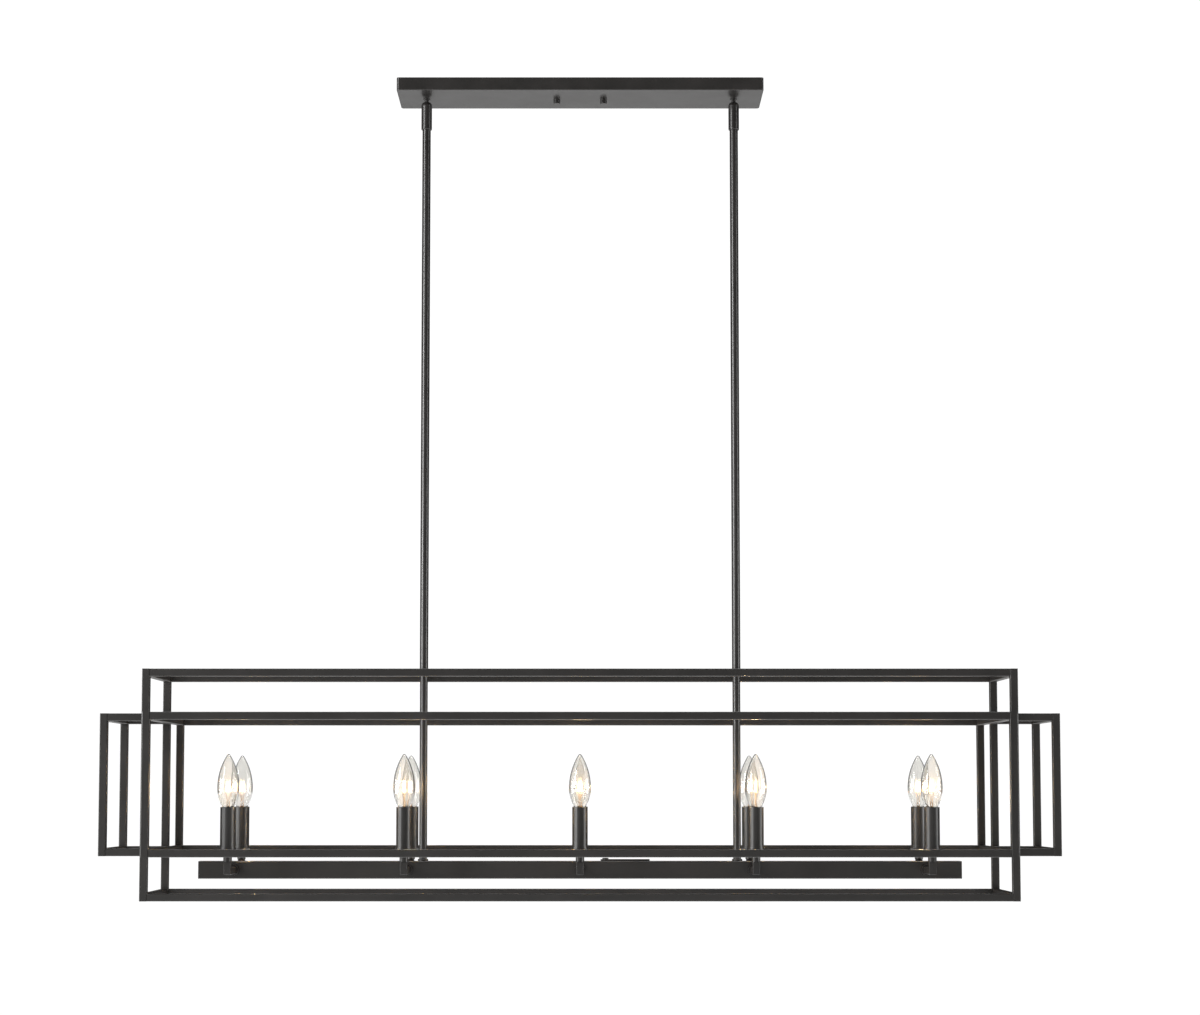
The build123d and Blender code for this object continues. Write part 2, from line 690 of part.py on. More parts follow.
channel = arm_size - 2 * arm_wall
with BuildPart() as candle_arms:
    with BuildSketch(*[Plane.YZ.offset(x) for x in candle_xs]):
        with Locations((-arm_start, arm_z)):
            Rectangle(arm_outside - arm_start, arm_size, align=(Align.MAX, Align.CENTER))
        with Locations((-candle_y, arm_top)):
            Rectangle(arm_size, arm_top - arm_z + arm_size / 2, align=(Align.CENTER, Align.MAX))
    extrude(amount=arm_size / 2, both=True)
    fillet(candle_arms.edges().filter_by(GeomType.LINE), arm_corner)
    with BuildSketch(*[Plane.YZ.offset(x) for x in candle_xs]):
        with Locations((-arm_start - arm_end, arm_z)):
            Rectangle(arm_outside - arm_start - arm_end - arm_wall, channel, align=(Align.MAX, Align.CENTER))
        with Locations((-candle_y, arm_top - arm_end)):
            Rectangle(channel, arm_top - arm_end - arm_z + channel / 2, align=(Align.CENTER, Align.MAX))
    extrude(amount=channel / 2, both=True, mode=Mode.SUBTRACT)
    with BuildSketch(Plane.XZ.offset(arm_start)):
        with Locations(*[(x, arm_z) for x in candle_xs]):
            Circle(small_nipple_d / 2 + thread_fit)
    extrude(amount=arm_end, mode=Mode.SUBTRACT)
    with BuildSketch(Plane.XY.offset(arm_top)):
        with Locations(*[(x, -candle_y) for x in candle_xs]):
            Circle(small_nipple_d / 2 + thread_fit)
    extrude(amount=-arm_end, mode=Mode.SUBTRACT)
    mirror(about=Plane.XZ)
candle_arms.part.label = "candle_arms"
export_step(candle_arms.part, "parts/candle_arms.step")

with BuildPart() as candle_necks:
    with Locations(*above_candles(arm_top)):
        Cylinder(neck_d / 2, neck_height, align=STANDING)
        Cylinder(small_nipple_d / 2 + hole_fit, neck_height, align=STANDING, mode=Mode.SUBTRACT)
candle_necks.part.label = "candle_necks"
export_step(candle_necks.part, "parts/candle_necks.step")

cup_r = sleeve_d / 2 + sleeve_fit + cup_wall
with BuildPart() as candle_cups:
    with Locations(*above_candles(cup_bottom)):
        Cylinder(cup_r, cup_floor + cup_rim, align=STANDING)
    fillet(candle_cups.edges().group_by(Axis.Z)[0], min(cup_foot, cup_floor * fillet_share))
    with Locations(*above_candles(cup_seat)):
        Cylinder(cup_r - cup_wall, cup_rim, align=STANDING, mode=Mode.SUBTRACT)
    with Locations(*above_candles(cup_bottom)):
        Cylinder(small_nipple_d / 2 + hole_fit, cup_floor, align=STANDING, mode=Mode.SUBTRACT)
candle_cups.part.label = "candle_cups"
export_step(candle_cups.part, "parts/candle_cups.step")

with BuildPart() as candle_sleeves:
    with Locations(*above_candles(cup_seat)):
        Cylinder(sleeve_d / 2, sleeve_length, align=STANDING)
        Cylinder(sleeve_bore_r, sleeve_length, align=STANDING, mode=Mode.SUBTRACT)
candle_sleeves.part.label = "candle_sleeves"
export_step(candle_sleeves.part, "parts/candle_sleeves.step")

with BuildPart() as socket_bodies:
    with Locations(*above_candles(cup_seat)):
        Cylinder(socket_post_d / 2, socket_body_top - cup_seat, align=STANDING)
    with Locations(*above_candles(socket_body_top)):
        Cylinder(socket_body_r, socket_body_length, align=HANGING)
        Cylinder(socket_cavity_r, socket_body_top - socket_floor, align=HANGING, mode=Mode.SUBTRACT)
    with Locations(*above_candles(cup_seat)):
        Cylinder(small_nipple_d / 2 + thread_fit, socket_thread, align=STANDING, mode=Mode.SUBTRACT)
socket_bodies.part.label = "socket_bodies"
export_step(socket_bodies.part, "parts/socket_bodies.step")

with BuildPart() as socket_shells:
    with Locations(*above_candles(socket_floor)):
        Cylinder(shell_bore_r + shell_wall, socket_body_top - socket_floor, align=STANDING)
        Cylinder(shell_bore_r, socket_body_top - socket_floor, align=STANDING, mode=Mode.SUBTRACT)
socket_shells.part.label = "socket_shells"
export_step(socket_shells.part, "parts/socket_shells.step")

# =====================================================================
# Lamps, each drawn with its tip at the origin
# =====================================================================

lamp_r = lamp_d / 2
shoulder_r = (lamp_r**2 + (widest_drop - nose_r) ** 2 - nose_r**2) / (2 * (lamp_r - nose_r))
shoulder_angle = degrees(atan2(widest_drop - nose_r, shoulder_r - lamp_r))
taper_end_r = sleeve_bore_r - glass_air
taper_height = glass_length - glass_in_sleeve - widest_drop
taper_r = ((lamp_r - taper_end_r) ** 2 + taper_height**2) / (2 * (lamp_r - taper_end_r))
taper_angle = degrees(asin(taper_height / taper_r))


def glass_outline(wall):
    """Half of the lamp's outline, drawn inside the glass by a wall: nose, shoulder, taper and neck."""
    with BuildLine() as outline:
        nose = CenterArc((0, -nose_r), nose_r - wall, 90, shoulder_angle - 90)
        CenterArc((lamp_r - shoulder_r, -widest_drop), shoulder_r - wall, shoulder_angle, -shoulder_angle)
        taper = CenterArc((lamp_r - taper_r, -widest_drop), taper_r - wall, 0, -taper_angle)
        neck = Line(taper @ 1, (glass_neck_d / 2 - wall, -glass_length))
        foot = Line(neck @ 1, (0, -glass_length))
        Line(foot @ 1, nose @ 0)
    make_face(outline.edges())


with BuildPart() as glass:
    with BuildSketch(Plane.XZ):
        glass_outline(0)
    revolve(axis=Axis.Z)
    with BuildSketch(Plane.XZ):
        glass_outline(glass_wall)
    revolve(axis=Axis.Z, mode=Mode.SUBTRACT)
    with Locations((0, 0, -glass_length)):
        Cylinder(glass_stem_d / 2, glass_stem_length, align=STANDING)

shell_height = lamp_base_length - lamp_cone_height - lamp_contact_height
lead_start = glass_stem_length - glass_length
with BuildPart() as screw_base:
    with Locations((0, 0, -glass_length)):
        Cylinder(lamp_base_d / 2, shell_height, align=HANGING)
    with Locations((0, 0, -glass_length - shell_height - lamp_cone_height)):
        Cone(lamp_cone_d / 2, lamp_base_d / 2, lamp_cone_height, align=STANDING)
        Cylinder(lamp_contact_d / 2, lamp_contact_height, align=HANGING)
    with BuildLine(Plane.XZ) as leads:
        FilletPolyline(
            (-lead_gap / 2, lead_start),
            (-lead_spread / 2, lead_start + lead_length),
            (0, lead_start + lead_length + filament_rise),
            (lead_spread / 2, lead_start + lead_length),
            (lead_gap / 2, lead_start),
            radius=wire_bend,
        )
    with BuildSketch(Plane(origin=leads.line @ 0, z_dir=leads.line % 0)):
        Circle(wire_d / 2)
    sweep(path=leads.line)

for row, side in (("front", -1), ("rear", 1)):
    for number, x in enumerate(candle_xs, start=1):
        with BuildPart() as bulb_glass:
            with Locations((x, side * candle_y, lamp_tip)):
                add(glass.part)
        bulb_glass.part.label = f"bulb_glass_{row}_{number}"
        export_step(bulb_glass.part, f"parts/bulb_glass_{row}_{number}.step")
        with BuildPart() as bulb_base:
            with Locations((x, side * candle_y, lamp_tip)):
                add(screw_base.part)
        bulb_base.part.label = f"bulb_base_{row}_{number}"
        export_step(bulb_base.part, f"parts/bulb_base_{row}_{number}.step")

for name, height in (
    ("pivot", pivot_z),
    ("frame top", frame_top),
    ("bar top", bar_top),
    ("arm axis", arm_z),
    ("cup seat", cup_seat),
    ("lamp tip", lamp_tip),
    ("frame bottom", frame_mid - tall_frame_height / 2),
):
    print(f"{name}: z = {height:.3f}")
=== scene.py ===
"""Linear island pendant in satin black: finishes, lamps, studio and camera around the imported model."""

import json
import math

import bpy
from mathutils import Euler, Matrix, Vector


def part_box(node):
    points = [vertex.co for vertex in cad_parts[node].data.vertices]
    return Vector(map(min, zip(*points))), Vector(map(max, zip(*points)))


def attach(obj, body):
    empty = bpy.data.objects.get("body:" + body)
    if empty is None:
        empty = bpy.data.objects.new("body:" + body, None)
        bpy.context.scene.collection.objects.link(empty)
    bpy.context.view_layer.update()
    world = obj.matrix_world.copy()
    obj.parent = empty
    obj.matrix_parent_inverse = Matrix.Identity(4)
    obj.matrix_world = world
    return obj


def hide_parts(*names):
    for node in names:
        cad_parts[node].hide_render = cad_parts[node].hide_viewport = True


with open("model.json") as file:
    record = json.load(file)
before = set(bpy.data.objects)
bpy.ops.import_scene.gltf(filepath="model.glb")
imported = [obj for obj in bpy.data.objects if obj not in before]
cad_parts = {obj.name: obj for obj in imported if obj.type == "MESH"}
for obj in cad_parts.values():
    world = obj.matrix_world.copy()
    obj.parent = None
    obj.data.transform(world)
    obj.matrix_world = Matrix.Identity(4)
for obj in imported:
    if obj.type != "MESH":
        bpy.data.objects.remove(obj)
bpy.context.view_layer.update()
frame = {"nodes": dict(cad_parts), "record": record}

MM = 0.001
NODES = frame["nodes"]


# =====================================================================
# Colours and nodes
# =====================================================================


def colour(hex_value):
    """An sRGB hex value as a linear colour with full alpha."""
    channels = [int(hex_value[i:i + 2], 16) / 255 for i in (1, 3, 5)]
    return [c / 12.92 if c <= 0.04045 else ((c + 0.055) / 1.055) ** 2.4 for c in channels] + [1.0]


def add_node(tree, kind, settings=None, links=None):
    """Adds one shader node with its settings, and links other nodes' outputs into its inputs."""
    node = tree.nodes.new(kind)
    for name, value in (settings or {}).items():
        if isinstance(name, str) and hasattr(node, name):
            setattr(node, name, value)
        else:
            node.inputs[name].default_value = value
    for socket, source in (links or {}).items():
        tree.links.new(source, node.inputs[socket])
    return node


def new_material(name):
    """A material with an empty node tree."""
    material = bpy.data.materials.new(name)
    material.use_nodes = True
    material.node_tree.nodes.clear()
    return material


# =====================================================================
# Materials
# =====================================================================

NOISE_SPAN = {"From Min": 0.3, "From Max": 0.7}  # where a noise's values mostly lie
PAINT_INDEX = 1.5
PEEL_MM = 2.0  # real orange peel is about 1 mm across; drawn coarser so that it shows
CLOUD_MM = 60.0  # slow drift of gloss from the spray passes
GRAIN_RELIEF_MM = 0.01
GLASS_INDEX = 1.5
RIPPLE_MM = 5.0
RIPPLE_RELIEF_MM = 0.1
HAZE_SHARE = 0.011  # the share of the light that the lamp glass scatters
HAZE_ROUGHNESS = 0.65
HEAT_MM = 3.0  # how far apart the filament's hotter and cooler turns are
FILAMENT_GLOW = 750.0


def powder_coat(name, dark, light, smoothest, roughest, peel_depth_mm):
    """Powder-coated steel, sprayed and baked: deep black with soft, broad highlights, a faint orange peel and a
    slow drift of gloss."""
    material = new_material(name)
    tree = material.node_tree
    place = add_node(tree, "ShaderNodeTexCoord")
    peel = add_node(
        tree, "ShaderNodeTexNoise",
        {"Scale": 1 / (PEEL_MM * MM), "Detail": 1.5, "Roughness": 0.4}, {"Vector": place.outputs["Object"]},
    )
    cloud = add_node(
        tree, "ShaderNodeTexNoise",
        {"Scale": 1 / (CLOUD_MM * MM), "Detail": 3.0, "Roughness": 0.55}, {"Vector": place.outputs["Object"]},
    )
    drift = add_node(tree, "ShaderNodeMapRange", NOISE_SPAN, {"Value": cloud.outputs["Fac"]})
    tint = add_node(
        tree, "ShaderNodeMix", {"data_type": "RGBA", 6: colour(dark), 7: colour(light)},
        {0: drift.outputs["Result"]},
    )
    gloss = add_node(
        tree, "ShaderNodeMapRange", {"To Min": smoothest, "To Max": roughest},
        {"Value": drift.outputs["Result"]},
    )
    relief = add_node(
        tree, "ShaderNodeBump", {"Strength": 0.3, "Distance": peel_depth_mm * MM},
        {"Height": peel.outputs["Fac"]},
    )
    surface = add_node(
        tree, "ShaderNodeBsdfPrincipled", {"IOR": PAINT_INDEX},
        {"Base Color": tint.outputs[2], "Roughness": gloss.outputs["Result"],
         "Normal": relief.outputs["Normal"]},
    )
    add_node(tree, "ShaderNodeOutputMaterial", links={"Surface": surface.outputs["BSDF"]})
    return material


def plated_metal(name, dark, light, smoothest, roughest, grain_mm):
    """Plated or drawn metal: bright, with a faint grain from its forming that breaks the reflections."""
    material = new_material(name)
    tree = material.node_tree
    place = add_node(tree, "ShaderNodeTexCoord")
    grain = add_node(
        tree, "ShaderNodeTexNoise",
        {"Scale": 1 / (grain_mm * MM), "Detail": 3.0, "Roughness": 0.6}, {"Vector": place.outputs["Object"]},
    )
    drift = add_node(tree, "ShaderNodeMapRange", NOISE_SPAN, {"Value": grain.outputs["Fac"]})
    tint = add_node(
        tree, "ShaderNodeMix", {"data_type": "RGBA", 6: colour(dark), 7: colour(light)},
        {0: drift.outputs["Result"]},
    )
    gloss = add_node(
        tree, "ShaderNodeMapRange", {"To Min": smoothest, "To Max": roughest},
        {"Value": drift.outputs["Result"]},
    )
    relief = add_node(
        tree, "ShaderNodeBump", {"Strength": 0.2, "Distance": GRAIN_RELIEF_MM * MM},
        {"Height": grain.outputs["Fac"]},
    )
    surface = add_node(
        tree, "ShaderNodeBsdfPrincipled", {"Metallic": 1.0},
        {"Base Color": tint.outputs[2], "Roughness": gloss.outputs["Result"],
         "Normal": relief.outputs["Normal"]},
    )
    add_node(tree, "ShaderNodeOutputMaterial", links={"Surface": surface.outputs["BSDF"]})
    return material


def moulded(name, dark, light, roughness, index, mottle_mm):
    """Moulded phenolic or fused black glass: near-black, with a fine mottle from the mould."""
    material = new_material(name)
    tree = material.node_tree
    place = add_node(tree, "ShaderNodeTexCoord")
    mottle = add_node(
        tree, "ShaderNodeTexNoise", {"Scale": 1 / (mottle_mm * MM), "Detail": 4.0},
        {"Vector": place.outputs["Object"]},
    )
    tint = add_node(
        tree, "ShaderNodeMix", {"data_type": "RGBA", 6: colour(dark), 7: colour(light)},
        {0: mottle.outputs["Fac"]},
    )
    surface = add_node(
        tree, "ShaderNodeBsdfPrincipled", {"Roughness": roughness, "IOR": index},
        {"Base Color": tint.outputs[2]},
    )
    add_node(tree, "ShaderNodeOutputMaterial", links={"Surface": surface.outputs["BSDF"]})
    return material


def lamp_glass(name):
    """Soda-lime lamp glass, ribbon-blown thin: crisp and grey at its rims, a faint ripple, and a trace of haze
    that spreads the filament's glare. The filament's own light passes straight out."""
    material = new_material(name)
    tree = material.node_tree
    place = add_node(tree, "ShaderNodeTexCoord")
    stretch = add_node(
        tree, "ShaderNodeMapping", {"Scale": (1.0, 1.0, 0.25)}, {"Vector": place.outputs["Object"]}
    )
    ripple = add_node(
        tree, "ShaderNodeTexNoise", {"Scale": 1 / (RIPPLE_MM * MM), "Detail": 1.0},
        {"Vector": stretch.outputs["Vector"]},
    )
    relief = add_node(
        tree, "ShaderNodeBump", {"Strength": 0.15, "Distance": RIPPLE_RELIEF_MM * MM},
        {"Height": ripple.outputs["Fac"]},
    )
    glass = add_node(
        tree, "ShaderNodeBsdfPrincipled",
        {"Base Color": colour("#eeedea"), "Roughness": 0.0, "IOR": GLASS_INDEX, "Transmission Weight": 1.0},
        {"Normal": relief.outputs["Normal"]},
    )
    haze = add_node(tree, "ShaderNodeBsdfRefraction", {"Roughness": HAZE_ROUGHNESS, "IOR": GLASS_INDEX})
    hazed = add_node(
        tree, "ShaderNodeMixShader", {0: HAZE_SHARE}, {1: glass.outputs["BSDF"], 2: haze.outputs["BSDF"]}
    )
    clear = add_node(tree, "ShaderNodeBsdfTransparent")
    path = add_node(tree, "ShaderNodeLightPath")
    seen = add_node(
        tree, "ShaderNodeMath", {"operation": "MAXIMUM"},
        {0: path.outputs["Is Camera Ray"], 1: path.outputs["Is Transmission Ray"]},
    )
    either = add_node(
        tree, "ShaderNodeMixShader",
        links={0: seen.outputs["Value"], 1: clear.outputs["BSDF"], 2: hazed.outputs["Shader"]},
    )
    add_node(tree, "ShaderNodeOutputMaterial", links={"Surface": either.outputs["Shader"]})
    return material


def hot_filament(name):
    """Coiled tungsten at working heat: warm white, and far brighter than the room."""
    material = new_material(name)
    tree = material.node_tree
    place = add_node(tree, "ShaderNodeTexCoord")
    heat = add_node(
        tree, "ShaderNodeTexNoise", {"Scale": 1 / (HEAT_MM * MM), "Detail": 1.0},
        {"Vector": place.outputs["Object"]},
    )
    tint = add_node(
        tree, "ShaderNodeMix", {"data_type": "RGBA", 6: colour("#ffc27a"), 7: colour("#ffe2b4")},
        {0: heat.outputs["Fac"]},
    )
    surface = add_node(
        tree, "ShaderNodeBsdfPrincipled",
        {"Base Color": colour("#6b6660"), "Metallic": 1.0, "Roughness": 0.5,
         "Emission Strength": FILAMENT_GLOW},
        {"Emission Color": tint.outputs[2]},
    )
    add_node(tree, "ShaderNodeOutputMaterial", links={"Surface": surface.outputs["BSDF"]})
    return material


FRAME_BLACK = powder_coat("satin_black_powder_coat", "#161514", "#1c1a19", 0.28, 0.36, 0.03)
SLEEVE_BLACK = powder_coat("semi_gloss_black_sleeve", "#141312", "#191817", 0.32, 0.38, 0.004)
ZINC = plated_metal("zinc_plated_steel", "#aeb2b5", "#c6cacc", 0.32, 0.45, 4.0)
SHELL_METAL = plated_metal("nickel_plated_brass_shell", "#b7a06a", "#cdb98a", 0.22, 0.34, 3.0)
LEAD_WIRE = plated_metal("copper_clad_lead_wire", "#a87d48", "#cc9c5a", 0.3, 0.4, 1.0)
SOLDER = plated_metal("tin_lead_solder", "#a9abad", "#c2c3c4", 0.25, 0.4, 1.5)
PHENOLIC = moulded("moulded_black_phenolic", "#14110f", "#241f1b", 0.55, 1.55, 3.0)
VITRITE = moulded("fused_black_vitrite", "#08080a", "#121216", 0.12, 1.6, 1.5)
LAMP_GLASS = lamp_glass("clear_soda_lime_lamp_glass")
FILAMENT = hot_filament("glowing_tungsten")
SLOT_MATERIALS = {
    "black_metal": FRAME_BLACK,
    "sleeve_black": SLEEVE_BLACK,
    "zinc_steel": ZINC,
    "lamp_metal": SHELL_METAL,
    "dark_plastic": PHENOLIC,
    "clear_glass": LAMP_GLASS,
}


def finish_cad_nodes():
    """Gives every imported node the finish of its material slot."""
    for part in frame["record"]["subparts"]:
        node = NODES[part["node"]]
        node.data.materials.clear()
        node.data.materials.append(SLOT_MATERIALS[part["material_slot"]])


finish_cad_nodes()


# =====================================================================
# Lamps: one is made with its tip at the origin, then copied into every candle
# =====================================================================

# Sizes in millimetres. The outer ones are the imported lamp's. A drop is measured down from the lamp's tip.
LAMP_R = 15.6
LAMP_LENGTH = 98.0
GLASS_LENGTH = 81.0
GLASS_WALL = 0.8
NOSE_R = 2.5
TIP_R = 0.1
WIDEST_DROP = 48.0
TAPER_END_R = 8.3
TAPER_END_DROP = 75.6
NECK_R = 6.3
NOSE_STEPS = 6
SHOULDER_STEPS = 20
TAPER_STEPS = 10
STEM_R = 2.2
STEM_LENGTH = 15.0
STEM_TOP = GLASS_LENGTH - STEM_LENGTH
BASE_R = 5.9
SKIRT_END = GLASS_LENGTH + 3.0
SHELL_END = GLASS_LENGTH + 13.0
THREAD_PITCH = 2.54
THREAD_DEPTH = 0.5
THREAD_STEPS = 8  # points on one wave of the thread
THREAD_TURNS = 5
THREAD_SIDES = 36
CONE_R = 3.0
CONTACT_R = 2.0
CONE_END = LAMP_LENGTH - 1.0
FILAMENT_LOW = 53.5  # drops of the filament's lower and upper turns
FILAMENT_HIGH = 38.5
FILAMENT_STEP = 1.8
COIL_R = 0.45
COIL_WIRE_R = 0.16
COIL_PITCH = 0.7
COIL_STEPS = 10
COIL_WIRE_SIDES = 6
LEAD_R = 0.35
LEAD_X = 1.2  # each lead's distance from the middle inside the stem
LEAD_SPREAD_X = 1.9  # and just above it
SUPPORT_R = 0.12
ROUND_SIDES = 48
CONE_SIDES = 32
SMALL_SIDES = 24
WELD = 0.01  # points nearer than this become one
CUT_REACH = 0.001  # points nearer to a cut than this lie on it
LAMP_TURNS = [8, 64, 31, 97, 142, 20, 118, 75, 50, 160]  # degrees, as each lamp happens to screw home
LAMPS_IN_A_ROW = len(LAMP_TURNS) // 2


def deselect_all():
    """Leaves nothing selected, in object mode."""
    if bpy.context.object and bpy.context.object.mode != "OBJECT":
        bpy.ops.object.mode_set(mode="OBJECT")
    bpy.ops.object.select_all(action="DESELECT")


def pick(piece):
    """Selects one piece alone and makes it the active one."""
    deselect_all()
    piece.select_set(True)
    bpy.context.view_layer.objects.active = piece


def turned_piece(name, rings, sides=ROUND_SIDES, close_start=False, close_end=False):
    """A turned shape on the Z axis through rings of (radius, drop)."""
    deselect_all()
    radius, drop = rings[0]
    bpy.ops.mesh.primitive_circle_add(vertices=sides, radius=radius * MM, location=(0, 0, -drop * MM))
    piece = bpy.context.active_object
    piece.name = name
    bpy.ops.object.mode_set(mode="EDIT")
    bpy.ops.mesh.select_mode(type="EDGE")
    bpy.ops.mesh.select_all(action="SELECT")
    for next_radius, next_drop in rings[1:]:
        bpy.ops.mesh.extrude_edges_move(TRANSFORM_OT_translate={"value": (0, 0, (drop - next_drop) * MM)})
        scale = next_radius / radius
        bpy.ops.transform.resize(value=(scale, scale, 1), center_override=(0, 0, -next_drop * MM))
        radius, drop = next_radius, next_drop
    if close_end:
        bpy.ops.mesh.edge_face_add()
    if close_start:
        bpy.ops.mesh.select_all(action="DESELECT")
        bpy.ops.mesh.select_non_manifold()
        bpy.ops.mesh.edge_face_add()
    bpy.ops.mesh.select_all(action="SELECT")
    bpy.ops.mesh.normals_make_consistent(inside=False)
    bpy.ops.object.mode_set(mode="OBJECT")
    bpy.ops.object.transform_apply(location=True, rotation=True, scale=True)
    return piece


def apply_modifier(piece, kind, **settings):
    """Adds a modifier with its settings and applies it."""
    pick(piece)
    modifier = piece.modifiers.new(kind.lower(), kind)
    for name, value in settings.items():
        setattr(modifier, name, value)
    bpy.ops.object.modifier_apply(modifier=modifier.name)


def joined(name, pieces):
    """Several meshes as one object."""
    pick(pieces[0])
    for piece in pieces[1:]:
        piece.select_set(True)
    bpy.ops.object.join()
    pieces[0].name = name
    return pieces[0]


def smooth(piece, angle):
    """Smooth shading that keeps the edges sharper than an angle in degrees."""
    pick(piece)
    bpy.ops.object.shade_smooth_by_angle(angle=math.radians(angle))
    return piece


def envelope_rings():
    """The lamp glass from its neck to its tip: taper, shoulder and drawn-out nose."""
    rise = WIDEST_DROP - NOSE_R
    shoulder_r = (LAMP_R**2 + rise**2 - NOSE_R**2) / (2 * (LAMP_R - NOSE_R))
    shoulder_turn = math.atan2(rise, shoulder_r - LAMP_R)
    fall = TAPER_END_DROP - WIDEST_DROP
    taper_r = ((LAMP_R - TAPER_END_R) ** 2 + fall**2) / (2 * (LAMP_R - TAPER_END_R))
    taper_turn = math.asin(fall / taper_r)
    rings = [(NECK_R, GLASS_LENGTH), (NECK_R + 0.7, GLASS_LENGTH - 2.0)]
    for step in range(TAPER_STEPS):
        turn = taper_turn * (1 - step / TAPER_STEPS)
        rings.append((LAMP_R - taper_r + taper_r * math.cos(turn), WIDEST_DROP + taper_r * math.sin(turn)))
    for step in range(SHOULDER_STEPS):
        turn = shoulder_turn * step / SHOULDER_STEPS
        rings.append(
            (LAMP_R - shoulder_r + shoulder_r * math.cos(turn), WIDEST_DROP - shoulder_r * math.sin(turn))
        )
    for step in range(NOSE_STEPS):
        turn = shoulder_turn + (math.pi / 2 - shoulder_turn) * step / NOSE_STEPS
        rings.append((NOSE_R * math.cos(turn), NOSE_R - NOSE_R * math.sin(turn)))
    return rings + [(TIP_R, 0.0)]


def lamp_envelope():
    """The blown envelope as a thin closed wall, with the flared stem sealed inside its neck."""
    envelope = turned_piece("lamp_glass", envelope_rings(), close_end=True)
    apply_modifier(envelope, "SOLIDIFY", thickness=GLASS_WALL * MM, offset=-1.0)
    flare = [
        (NECK_R - 1.3, GLASS_LENGTH - 0.6), (STEM_R + 1.4, GLASS_LENGTH - 2.6),
        (STEM_R + 0.3, GLASS_LENGTH - 5.0), (STEM_R, GLASS_LENGTH - 8.0),
    ]
    rounded_top = [
        (STEM_R, STEM_TOP + 2.0), (STEM_R * 0.9, STEM_TOP + 0.8), (STEM_R * 0.6, STEM_TOP + 0.2),
        (STEM_R * 0.2, STEM_TOP),
    ]
    stem = turned_piece("stem", flare + rounded_top, sides=SMALL_SIDES, close_start=True, close_end=True)
    return smooth(joined("lamp_glass", [envelope, stem]), 60)


def lamp_wire(points, radius):
    """A round wire through points of (x, drop)."""
    deselect_all()
    line = bpy.data.curves.new("wire", "CURVE")
    line.dimensions = "3D"
    line.bevel_depth = radius * MM
    line.bevel_resolution = 2
    line.use_fill_caps = True
    spline = line.splines.new("POLY")
    spline.points.add(len(points) - 1)
    for point, (x, drop) in zip(spline.points, points):
        point.co = (x * MM, 0, -drop * MM, 1)
    piece = bpy.data.objects.new("wire", line)
    bpy.context.scene.collection.objects.link(piece)
    pick(piece)
    bpy.ops.object.convert(target="MESH")
    return bpy.context.active_object


def filament_stops():
    """The filament's five ends and turns, from left to right, as points of (x, drop)."""
    return [(n * FILAMENT_STEP, FILAMENT_HIGH if n % 2 else FILAMENT_LOW) for n in range(-2, 3)]


def lamp_leads():
    """Two lead wires that spread from the stem to the filament's ends, and thin supports between them."""
    wires = []
    for side in (-1, 1):
        wires.append(lamp_wire([
            (side * LEAD_X, GLASS_LENGTH - 2), (side * LEAD_X, STEM_TOP), (side * LEAD_SPREAD_X, STEM_TOP - 3),
            (side * 2 * FILAMENT_STEP, FILAMENT_LOW + 1.5), (side * 2 * FILAMENT_STEP, FILAMENT_LOW - 0.4),
        ], LEAD_R))
    for x, drop in filament_stops()[1:-1]:
        wires.append(lamp_wire([(x * 0.3, STEM_TOP + 1), (x, drop)], SUPPORT_R))
    return smooth(joined("lamp_leads", wires), 60)


def coil_length(start, end):
    """A straight length of coiled tungsten between two points of (x, drop)."""
    run = Vector((end[0] - start[0], 0, start[1] - end[1])) * MM
    turns = round(run.length / MM / COIL_PITCH)
    deselect_all()
    bpy.ops.mesh.primitive_circle_add(
        vertices=COIL_WIRE_SIDES, radius=COIL_WIRE_R * MM, location=(COIL_R * MM, 0, 0),
        rotation=(math.pi / 2, 0, 0),
    )
    coil = bpy.context.active_object
    bpy.ops.object.transform_apply(location=True, rotation=True, scale=True)
    apply_modifier(
        coil, "SCREW", axis="Z", screw_offset=run.length / turns, iterations=turns, steps=COIL_STEPS,
        render_steps=COIL_STEPS, use_normal_calculate=True,
    )
    coil.rotation_euler = run.to_track_quat("Z", "Y").to_euler()
    coil.location = (start[0] * MM, 0, -start[1] * MM)
    pick(coil)
    bpy.ops.object.transform_apply(location=True, rotation=True, scale=True)
    return coil


def lamp_filament():
    """A coiled filament that runs up and down between its supports."""
    stops = filament_stops()
    return smooth(joined("lamp_filament", [coil_length(a, b) for a, b in zip(stops, stops[1:])]), 80)


